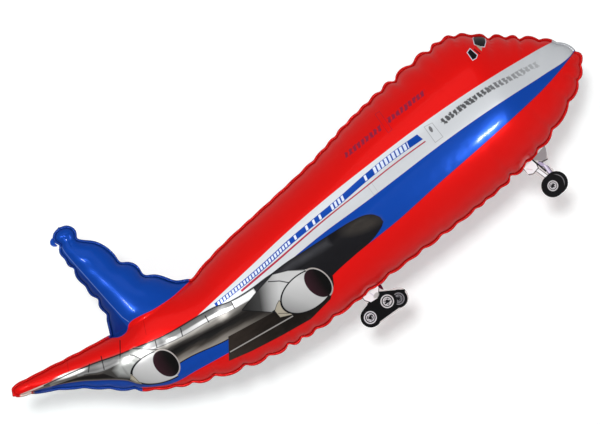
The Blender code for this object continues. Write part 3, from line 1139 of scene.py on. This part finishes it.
def draw_inner_engine(d, under):
    """The engine by the body: rear body, cone, cowl and intake."""
    body = d.patch((-2, 24), (-24, 37.5), (-44, 45), (-72, 39), (-106, 29), (-75, 4), (-48, 4))
    tone = d.shades(d.ranged(d.scaled(d.up, -0.5, d.along), -112, -60, 0, 1), INNER_BODY_GREYS)
    edge = ((-106, 29), (-72, 39), (-44, 45), (-24, 37.5), (-4, 24.5))
    cone = d.patch((-53, -15.5), (-57, 11), (-63, 8), (-70, 2.6), (-69, -9))
    colour = d.coats(
        under,
        (tone, body),
        (INK, d.strokes(edge, 1.4), 0.8),
        (INK, d.stroke((-106, 29), (-75, 4), 1.0), 0.8),
        (INK, d.stroke((-54.7, 40.4), (-41.3, 32.2), 1.5), 0.9),
        (INK, d.stroke((-41.3, 32.2), (-31.8, 22.6), 1.5), 0.9),
        (CONE, cone),
        (INK, d.edge_of(cone, 0.9), 0.8),
        (INK, d.stroke((-68, -3), (-56, -11), 1.0), 0.8),
    )
    return engine_front(d, colour, d.oval((-17.7, -0.6), 40.6, 25.1), 22.4, 15), 0.0


def draw_outer_engine(d, under):
    """The engine out on the wing: rear body, cowl, intake and cone."""
    body = d.either(
        d.patch((-25, 26), (-33, 39), (-43, 42.6), (-54, 34), (-51.5, 13.8), (-43.4, 15)),
        d.patch((-48, 36), (-78.8, 39.3), (-67.1, 22.8), (-51.8, 13.8)),
        d.patch((10, 15), (-26, 42.8), (-33, 38), (-25, 24)),
    )
    light = d.patch((14, 6), (-22, 44), (-46, 44), (-66, 34), (-64, 22), (-40, 0))
    colour = d.coats(
        under,
        (OUTER_BODY_DARK, body, 1.0, 1.2),
        (OUTER_BODY_LIGHT, d.both(body, d.grown(light, -3.0)), 1.0, 8),
        (INK, d.stroke((-33.5, 37.5), (-29.5, 33.8), 1.6), 0.9),
        (INK, d.stroke((-29.5, 33.8), (-24.8, 24.8), 1.6), 0.9),
        (INK, d.stroke((-25.7, 42.8), (10.5, 15), 1.6), 0.9),
    )
    colour = engine_front(d, colour, d.oval((-6.4, 0.3), 43.2, 21.8, -16.3), 20.4, 15)
    cone = d.patch((-44.2, -1.5), (-46.2, 9.9), (-48, 14.4), (-51.5, 10), (-48, 2.7))
    return d.coats(colour, (CONE, d.grown(cone, 0.8)), (INK, d.edge_of(cone, 0.8), 0.7)), 0.0


FIN_FOOT = (
    (-392, 50), (-386, 47), (-376, 42), (-366, 42.5), (-354.5, 50.4), (-335.2, 49.3), (-320.4, 46.8),
    (-303.9, 45.8), (-286.9, 45.8), (-264.3, 48.6), (-253.4, 50.1), (-240, 56),
)
CREASE = (
    (-371.2, 192.4), (-372.4, 180), (-371.4, 166), (-365.8, 117.2), (-362.6, 89.2), (-359.1, 62.7),
    (-355.2, 51.6),
)
CREASE_BEND = CREASE[3]
# painted shade for the fin's side behind the crease
FIN_PAINTED_SHADE = (0.003, 0.026, 0.20)
FIN_PALE = (0.25, 0.38, 0.75)
# painted shade: faint dark lines along folds on the red
FOLD_SHADE_RED = (0.25, 0.0, 0.0)


def draw_tail(d, under):
    """The blue fin with its crease, painted shade behind the crease, where the fin turns away from the
    light, and faint painted shade lines along folds on the red.
    """
    fin = d.both(d.over(FIN_FOOT), d.span(-395, -240))
    behind = d.both(fin, d.left_of(CREASE[-1], CREASE_BEND), d.left_of(CREASE_BEND, CREASE[0]))
    return d.coats(
        under,
        (BLUE, fin),
        (FIN_PAINTED_SHADE, behind, 0.75, 2),
        (FIN_PALE, d.strokes(CREASE, 0.9), 0.5),
        (FOLD_SHADE_RED, d.stroke((-452, 62), (-462, 42), 0.9), 0.35),
        (FOLD_SHADE_RED, d.stroke((-338, 42), (-346, 24), 0.9), 0.35),
    ), 0.0


PRINT_LAYERS = {
    "bands": draw_bands,
    "windows": draw_windows,
    "upper_deck": draw_upper_deck,
    "wing": draw_wing,
    "fairing": draw_fairing,
    "inner_engine": draw_inner_engine,
    "outer_engine": draw_outer_engine,
    "tail": draw_tail,
}
SEAL_LAYERS = ("bands", "wing", "tail")


def film_relief():
    """Fine crinkles of thin film, as a height."""
    inputs = (("Vector", "NodeSocketVector", (0, 0, 0)), ("Scale", "NodeSocketFloat", 30.0))
    group, inlet, outlet = new_group("film_relief", inputs, (("Height", "NodeSocketFloat"),))
    d = Drawing(group)
    noise = d.node("ShaderNodeTexNoise", Detail=2.0, Roughness=0.5, Distortion=0.4)
    d.fill(noise, Vector=inlet.outputs["Vector"], Scale=inlet.outputs["Scale"])
    d.put(outlet.inputs["Height"], noise.outputs[0])
    return group


def build_artwork():
    """The node groups of the print and of the film's relief, by name."""
    art = {name: print_group(name, draw) for name, draw in PRINT_LAYERS.items()}
    art["relief"] = film_relief()
    return art


def printed(art, d, names):
    """(colour, bare film) of these layers of the print, one over the other."""
    colour = RED
    bare = 0.0
    for name in names:
        along, up = d.along, d.up
        if name in ENGINE_PLACES:
            along, up = d.less(along, ENGINE_PLACES[name][0]), d.less(up, ENGINE_PLACES[name][1])
        layer = d.group(art[name], Along=along, Up=up, Under=colour)
        colour = layer.outputs["Colour"]
        bare = d.either(bare, layer.outputs["Bare film"])
    return colour, bare


# How shiny each finish is. Relief depths are in metres
FOIL_TINT = (0.35, 0.3, 0.3)
INKED_METAL, BARE_METAL = 0.15, 0.3
INKED_ROUGHNESS, BARE_ROUGHNESS = 0.30, 0.32
FOIL_CRINKLES = (22.0, 0.25, 0.004)
FILM_CRINKLES = (90.0, 0.3, 0.001)
SEAL_RIBS = (0.4, 0.0004)
RIBS_PER_MM = 5.0
SEAL_DARKNESS = 0.25
PLAIN_FILM = (0.62, 0.60, 0.60)


def new_finish(name):
    """(a new material, a drawing on it, its shader)"""
    finish = bpy.data.materials.new(name)
    finish.use_nodes = True
    return finish, Drawing(finish.node_tree), finish.node_tree.nodes["Principled BSDF"]


def foil_finish(art):
    """Printed metallised foil of the two sheets."""
    finish, d, shader = new_finish("printed_foil")
    d.lay_out_on(d.uv("print"), "Y")
    colour, bare = printed(art, d, PRINT_LAYERS)
    d.fill(
        shader,
        Base_Color=colour,
        Metallic=d.mix(INKED_METAL, BARE_METAL, bare),
        Roughness=d.mix(INKED_ROUGHNESS, BARE_ROUGHNESS, bare),
        IOR=1.3,
        Specular_IOR_Level=0.2,
        Specular_Tint=FOIL_TINT,
        Coat_Weight=0.09,
        Coat_Roughness=0.1,
        Normal=d.crinkles(art["relief"], *FOIL_CRINKLES),
    )
    return finish


def seal_finish(art):
    """The heat seal: the print's colour, darker, with fine ribs across the seam."""
    finish, d, shader = new_finish("heat_sealed_film")
    d.lay_out_on(d.uv("print"), "Y")
    colour, _ = printed(art, d, SEAL_LAYERS)
    ribs = d.maths("SINE", d.maths("MULTIPLY", d.millimetres(d.uv("seal"), "X"), RIBS_PER_MM))
    d.fill(
        shader,
        Base_Color=d.blend(colour, INK, SEAL_DARKNESS),
        Metallic=0.35,
        Roughness=0.35,
        Specular_Tint=FOIL_TINT,
        Normal=d.bump(ribs, *SEAL_RIBS),
    )
    return finish


def film_finish(art, name, draw):
    """Flat printed film that hangs free, drawn on its place in the seam's plane."""
    finish, d, shader = new_finish(name)
    d.lay_out_on(d.object_place(), "Z")
    d.fill(
        shader,
        Base_Color=draw(d, PLAIN_FILM),
        Roughness=0.5,
        Specular_IOR_Level=0.04,
        Normal=d.crinkles(art["relief"], *FILM_CRINKLES),
    )
    return finish


# Wheels of the flaps: centre, tyre's and ring's radius, and the ring's colour
TYRE_BLACK = (0.004, 0.004, 0.005)
WHEEL_DARK = (0.03, 0.03, 0.035)
MAIN_WHEELS = (
    ((-36.8, -132.5), 12.5, 8.4, (0.2, 0.2, 0.22)),
    ((-51.4, -126.7), 13.5, 9.4, (0.6, 0.6, 0.62)),
    ((-82.9, -131.6), 14.4, 8.9, (0.6, 0.6, 0.64)),
)
NOSE_WHEEL = ((223.2, -127.2), 15.7, 7.3, (0.55, 0.55, 0.57))


def draw_wheel(d, colour, centre, tyre, ring, shine):
    """A tyre with a light ring, a thin inner ring with bright flecks, and a dark hub."""
    off = d.oval(centre, tyre, tyre)
    face = d.less(off, tyre - ring)
    flecks = d.maths("GREATER_THAN", d.mottle(0.45, detail=0.0), 0.52)
    return d.coats(
        colour,
        (TYRE_BLACK, off),
        (d.blend(WHEEL_DARK, tuple(part * 0.8 for part in shine), flecks), d.less(face, ring * 0.32)),
        (shine, d.edge_of(d.less(face, ring * 0.1), 1.5)),
        (shine, d.edge_of(d.less(face, ring * 0.42), 1.0)),
        (INK, d.less(face, ring * 0.74)),
    )


MAIN_BLOCK_WHITE = (0.82, 0.82, 0.85)
MAIN_BLOCK_GREY = (0.42, 0.42, 0.42)
MAIN_BLOCK_LINE = (0.4, 0.35, 0.5)
MAIN_STRUT_SHADE = (0.07, 0.0, 0.015)


def draw_main_gear(d, under):
    """Two rows of wheels on a black patch, and the strut's white block over them."""
    black = d.either(
        d.patch((-33, -143), (-22, -127), (-36, -119), (-54.4, -108.5), (-88, -117), (-92, -144)),
        d.oval((-82.9, -131.6), 14.6, 14.6),
    )
    colour = d.paint(under, TYRE_BLACK, black)
    for wheel in MAIN_WHEELS:
        colour = draw_wheel(d, colour, *wheel)
    block = d.patch(
        (-60, -115.5), (-53, -108), (-49, -103), (-49, -97), (-76, -97), (-75.5, -108), (-70, -115)
    )
    return d.coats(
        colour,
        (INK, d.grown(block, 1.0)),
        (MAIN_BLOCK_WHITE, block),
        (MAIN_BLOCK_GREY, d.oval((-59, -111.5), 4.6, 3, 20), 1.0, 1.5),
        (MAIN_BLOCK_LINE, d.stroke((-66, -98), (-62, -110), 1.2), 0.6, 1.5),
        (MAIN_STRUT_SHADE, d.oval((-47.5, -104.5), 6, 2.4, -78)),
    )


DOOR_GREY = (0.27, 0.27, 0.28)
FAR_STRUT = ((224.3, -90), (230.4, -98.4), (230.6, -112))
FAR_STRUT_VIOLET = (0.40, 0.36, 0.52)
FAR_STRUT_LIGHT = (0.75, 0.72, 0.85)
GAP_LINE = ((220.5, -82), (224, -94), (227.0, -106))
NEAR_STRUT = ((215, -93), (219, -99), (224, -114))
NEAR_STRUT_WHITE = (0.83, 0.85, 0.88)
NOSE_BLOCK_WHITE = (0.83, 0.84, 0.87)
NOSE_BLOCK_LINE = (0.5, 0.36, 0.4)
FAR_TYRE_GREY = (0.16, 0.16, 0.17)


def draw_nose_gear(d, under):
    """A pair of tyres, one behind the other, and the block, the two struts and the door above them."""
    door = d.patch((233, -93), (238, -92), (248, -76), (252, -62), (216, -62), (221.5, -84))
    block = d.patch((211, -98), (220.4, -95.5), (221.4, -90), (219, -80), (204, -80), (204.5, -95))
    far_rim = d.both(d.edge_of(d.oval((228, -126.5), 12, 12), 1.1), d.after(233))
    colour = d.coats(
        under,
        (DOOR_GREY, door, 1.0, 2),
        (INK, d.stroke((227.1, -91.6), (238.5, -93.4), 1.8), 0.9),
        (INK, d.strokes(FAR_STRUT, 6.4), 0.9),
        (FAR_STRUT_VIOLET, d.strokes(FAR_STRUT, 4.6)),
        (FAR_STRUT_LIGHT, d.stroke((230, -97), (230, -112), 2.0), 1.0, 1.5),
        (INK, d.strokes(GAP_LINE, 2.2)),
        (INK, d.strokes(NEAR_STRUT, 6.0), 0.8),
        (NEAR_STRUT_WHITE, d.strokes(NEAR_STRUT, 4.0)),
        (INK, d.grown(block, 1.3), 0.85),
        (NOSE_BLOCK_WHITE, block),
        (NOSE_BLOCK_LINE, d.stroke((207, -88), (213, -93.5), 1.1), 0.6, 1.2),
        (TYRE_BLACK, d.oval((229.8, -126.5), 15.9, 15.9)),
        (FAR_TYRE_GREY, far_rim),
    )
    return draw_wheel(d, colour, *NOSE_WHEEL)


TAB_FOLD = (0.3, 0.4, 0.7)


def draw_tab(d, under):
    """Blue film with a pale fold line."""
    fold = d.stroke((-384, 200), (-376, 190), 0.8)
    return d.coats(under, (BLUE, d.after(-400)), (TAB_FOLD, fold, 0.7))


def dress():
    art = build_artwork()
    right, left, seal = make_foil(foil_finish(art), seal_finish(art))
    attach(right, "root")
    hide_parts("right_body_foil", "right_fin_foil")
    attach(left, "root")
    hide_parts("left_body_foil", "left_fin_foil")
    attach(seal, "root")
    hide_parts("seam_rim")
    for node, name, draw in (
        ("main_gear_flap", "main_gear_film", draw_main_gear),
        ("nose_gear_flap", "nose_gear_film", draw_nose_gear),
        ("inlet_tab", "tab_film", draw_tab),
    ):
        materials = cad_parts[node].data.materials
        materials.clear()
        materials.append(film_finish(art, name, draw))


# The stage: each sheet's colour and the light it gives off, where they lie, and their half sizes, in metres
BOARD_LOOK = ((0.885, 0.93, 0.925), 0.20)
FLOOR_LOOK = ((0.7, 0.7, 0.7), 0.0)
FLOOR_HEIGHT = -0.62
BOARD_DEPTH = 0.23
FLOOR_HALF = 6
BOARD_HALF = 3
PAINT_SHADE = 0.98


def stage_finish(name, colour, glow):
    """Plain paint, clear from behind, with a little light of its own."""
    finish, d, shader = new_finish(name)
    noise = d.node("ShaderNodeTexNoise", Vector=d.object_place(), Scale=3.0, Detail=2.0).outputs[0]
    d.fill(
        shader,
        Base_Color=d.blend(tuple(part * PAINT_SHADE for part in colour), colour, noise),
        Roughness=0.9,
        Specular_IOR_Level=0.1,
        Emission_Color=(1, 1, 1),
        Emission_Strength=glow,
    )
    behind = d.node("ShaderNodeNewGeometry").outputs["Backfacing"]
    clear = d.node("ShaderNodeBsdfTransparent").outputs[0]
    shown = d.in_order(d.node("ShaderNodeMixShader"), behind, shader.outputs[0], clear)
    d.put(d.tree.nodes["Material Output"].inputs["Surface"], shown.outputs[0])
    return finish


def make_stage():
    """A pale floor well below, and a white board close behind that catches the soft shadow."""
    floor = bmesh.new()
    bmesh.ops.create_grid(floor, x_segments=1, y_segments=1, size=FLOOR_HALF)
    bmesh.ops.translate(floor, verts=floor.verts, vec=(0, 0, FLOOR_HEIGHT))
    board = bmesh.new()
    bmesh.ops.create_grid(board, x_segments=1, y_segments=1, size=BOARD_HALF)
    bmesh.ops.rotate(board, verts=board.verts, matrix=Matrix.Rotation(math.radians(90), 3, "X"))
    bmesh.ops.translate(board, verts=board.verts, vec=(0, BOARD_DEPTH, 0))
    for mesh, name, look in ((floor, "floor", FLOOR_LOOK), (board, "board", BOARD_LOOK)):
        thing = object_from(mesh, name, stage_finish(name, *look))
        thing.visible_glossy = name == "floor"


# Light of the room, and the lamps: place, aim and size in metres, watts, and whether the foil mirrors it
ROOM_COLOUR = (0.9, 0.9, 0.9, 1)
ROOM_STRENGTH = 0.42
LAMPS = {
    "key": ((-0.08, -4.2, 0.6), (-0.08, 0, 0.03), (0.42, 0.42), 91, False),
    "fill": ((-0.2, -3.2, 0.7), (-0.08, 0, 0.03), (2.6, 1.6), 13, False),
    "sky_panel": ((-0.3, -1.3, 1.3), (-0.05, 0, 0.05), (2.4, 1.0), 9, True),
    "band_gleam": ((0.372, -0.73, -0.478), (0.22, -0.085, -0.02), (0.12, 0.05), 7.0, True),
    "fin_gleam": ((-0.71, -0.75, 0.18), (-0.36, 0, 0.13), (0.02, 0.3), 7.0, True),
}


def area_light(name, place, aim, size, power, mirrored):
    """An area light, seen in the foil only where mirrored is true."""
    light = bpy.data.lights.new(name, "AREA")
    light.shape = "RECTANGLE"
    light.size, light.size_y = size
    light.energy = power
    lamp = bpy.data.objects.new(name, light)
    lamp.visible_glossy = mirrored
    lamp.visible_diffuse = not mirrored
    lamp.visible_camera = False
    lamp.location = place
    lamp.rotation_euler = (Vector(aim) - Vector(place)).to_track_quat("-Z", "Y").to_euler()
    bpy.context.scene.collection.objects.link(lamp)


def light_scene():
    world = bpy.data.worlds.new("studio")
    world.use_nodes = True
    background = world.node_tree.nodes["Background"]
    background.inputs["Color"].default_value = ROOM_COLOUR
    background.inputs["Strength"].default_value = ROOM_STRENGTH
    bpy.context.scene.world = world
    for name, lamp in LAMPS.items():
        area_light(name, *lamp)


def place_camera():
    data = bpy.data.cameras.new("camera")
    data.lens = LENS
    camera = bpy.data.objects.new("camera", data)
    c, s = math.cos(VIEW_ROLL), math.sin(VIEW_ROLL)
    camera.matrix_world = Matrix((
        (c, s, 0, VIEW_CENTRE.x),
        (0, 0, -1, -VIEW_DISTANCE),
        (-s, c, 0, VIEW_CENTRE.z),
        (0, 0, 0, 1),
    ))
    bpy.context.scene.collection.objects.link(camera)
    bpy.context.scene.camera = camera


bpy.context.scene.view_settings.view_transform = "Standard"
place_camera()
dress()
make_stage()
light_scene()
